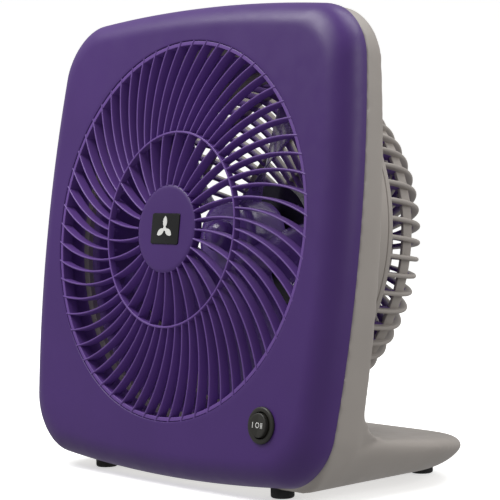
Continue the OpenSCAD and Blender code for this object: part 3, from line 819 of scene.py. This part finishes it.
def blade_ring(radius):
    """One closed section of a blade, with thin round edges."""
    out = radius - BLADE_HUB_R
    tip = max(0.0, (radius - 0.82 * BLADE_R) / (0.18 * BLADE_R))
    span = 360 / BLADE_COUNT * BLADE_COVER * math.sqrt(1 - 0.82 * tip * tip)
    pitch, thick, lead = BLADE_PITCH - 0.07 * out, 2.4 - 0.01 * out, -0.11 * out
    steps = 28
    ring = []
    for side in (1, -1):
        for k in range(steps + 1):
            u = (1 - side * math.cos(math.pi * k / steps)) / 2
            edge = (1 - abs(2 * u - 1) ** 6) ** 0.5
            a = math.radians(lead + span * (0.5 - u))
            depth = BLADE_MID - pitch * (u - 0.5) + BLADE_CAMBER * u * (1 - u)
            ring.append((radius * math.cos(a), radius * math.sin(a), -depth + side * thick / 2 * edge))
        ring.pop()
    return ring


def blade():
    """One blade, from inside the hub to its tip."""
    root = BLADE_HUB_R - 1.4
    steps = 22
    radii = [root + (BLADE_R - root) * math.sin(math.pi / 2 * k / steps) for k in range(steps + 1)]
    return grid([blade_ring(r) for r in radii], cap=True)


def impeller():
    """The blades on their hub, and the nut in front of them."""
    turned = moved(blade(), turn=math.radians(BLADE_PHASE))
    parts = around(turned, BLADE_COUNT)
    front, rear, inside = BLADE_HUB_FRONT, BLADE_HUB_REAR, BLADE_HUB_R - BLADE_HUB_T
    hub = [(SHAFT_HOLE_R, -front), (20, -front), (23.5, -front - 0.7), (25.8, -front - 2.6),
           (BLADE_HUB_R, -front - 6), (BLADE_HUB_R, -rear), (inside, -rear), (inside, -front - 7),
           (8, -front - 3), (8, -rear + 2), (SHAFT_HOLE_R, -rear + 2)]
    parts.append(lathe(hub, 96))
    piece("blade_wheel", parts, BLADE, body="impeller", nodes=["fan_blades"])
    dome = [(0.001, 0.0), (3, 0.1), (6, 0.8), (8.6, 2.4), (10.3, 4.6), (NUT_R, 7.4)]
    nut = [(r, -NUT_FRONT - drop) for r, drop in dome]
    nut += [(NUT_R, -front + 0.3), (0.001, -front + 0.3)]
    piece("spinner_nut", [lathe(nut, 64, wrap=False)], BLADE, body="impeller",
          nodes=["blade_nut"])


# ---------- feet ----------

def foot_pads():
    """Four round rubber feet with softened soles."""
    for name in ("foot_front_left", "foot_front_right", "foot_rear_left", "foot_rear_right"):
        low, high = (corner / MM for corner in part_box(name))
        radius = (high.x - low.x) / 2
        section = [(0.001, 0), (radius - 2.2, 0), (radius - 1.0, 0.15), (radius - 0.3, 0.6),
                   (radius, 1.4), (radius, high.z), (0.001, high.z)]
        pad = moved(lathe(section, 64, wrap=False), (low.x + high.x) / 2, (low.y + high.y) / 2)
        piece(name + "_pad", [pad], RUBBER, nodes=[name], place=WORLD)


# ---------- studio ----------

# Where each soft light stands, in millimetres, its width and its power in watts.
LIGHTS = {
    "key": ((-500, -650, 1200), 700, 13.5),
    "fill": ((1500, 500, 900), 1000, 7),
    "top": ((300, 700, 1800), 1200, 16),
}
SKY_STRENGTH = 0.42


def studio():
    """A round pale cove, three soft lights and a dim even sky."""
    floor_r, curve_r, height = 2600, 900, 4200
    section = [(1, 0), (floor_r * 0.3, 0), (floor_r, 0)]
    section += [(floor_r + curve_r * math.sin(a), curve_r - curve_r * math.cos(a))
                for a in (math.radians(d) for d in range(6, 91, 6))]
    section.append((floor_r + curve_r, height))
    rings = [[(r * math.cos(t), r * math.sin(t), z) for t in (TAU * i / 96 for i in range(96))]
             for r, z in section]
    verts, faces = grid(rings)
    faces.append(tuple(range(96)))
    cove = piece("cove", [(verts, faces)], None, place=WORLD)
    mat, nodes, links, shader, coords = new_material("pale_cove")
    blend_colour(nodes, links, shader, noise(nodes, links, coords, 6.0), rgb(246, 246, 244), 0.01)
    shader.inputs["Roughness"].default_value = 0.9
    shader.inputs["Emission Color"].default_value = (1, 1, 1, 1)
    shader.inputs["Emission Strength"].default_value = 0.55
    cove.data.materials.append(mat)
    cove.visible_diffuse = False
    cove.visible_glossy = False
    cove.visible_shadow = False
    for name, (place, size, power) in LIGHTS.items():
        area_light(name, place, size, power)
    world = bpy.data.worlds.new("sky")
    world.use_nodes = True
    world.node_tree.nodes["Background"].inputs["Color"].default_value = (1, 1, 1, 1)
    world.node_tree.nodes["Background"].inputs["Strength"].default_value = SKY_STRENGTH
    bpy.context.scene.world = world
    bpy.context.scene.view_settings.view_transform = "Standard"


def area_light(name, place, size, power):
    """A square soft light, aimed at the middle of the face."""
    light = bpy.data.lights.new(name, "AREA")
    light.size = size * MM
    light.energy = power
    obj = bpy.data.objects.new(name, light)
    obj.location = Vector(place) * MM
    aim = CENTRE * MM - obj.location
    obj.rotation_euler = aim.to_track_quat("-Z", "Y").to_euler()
    bpy.context.scene.collection.objects.link(obj)


# The camera's place in millimetres, its angles in degrees and its lens in millimetres.
CAMERA_AT = (944.5, -775.3 + CENTRE.y, 209.4)
CAMERA_YAW = 48.316
CAMERA_PITCH = -2.71
CAMERA_ROLL = -1.03
CAMERA_LENS = 135.26


def camera():
    """A camera turned from straight along +Y by its yaw, pitch and roll."""
    yaw, pitch, roll = (math.radians(a) for a in (CAMERA_YAW, CAMERA_PITCH, CAMERA_ROLL))
    forward = Vector((-math.sin(yaw) * math.cos(pitch),
                      math.cos(yaw) * math.cos(pitch),
                      math.sin(pitch)))
    right = Vector((math.cos(yaw), math.sin(yaw), 0))
    up = right.cross(forward)
    across = right * math.cos(roll) + up * math.sin(roll)
    upward = up * math.cos(roll) - right * math.sin(roll)
    data = bpy.data.cameras.new("camera")
    data.lens = CAMERA_LENS
    data.sensor_width = 36
    obj = bpy.data.objects.new("camera", data)
    obj.matrix_world = (Matrix.Translation(Vector(CAMERA_AT) * MM)
                        @ Matrix((across, upward, -forward)).transposed().to_4x4())
    bpy.context.scene.collection.objects.link(obj)
    bpy.context.scene.camera = obj


dress_cad_nodes()
front_housing()
air_duct()
front_grille()
badge()
switch()
rear_housing()
collar()
rear_guard()
impeller()
foot_pads()
studio()
camera()
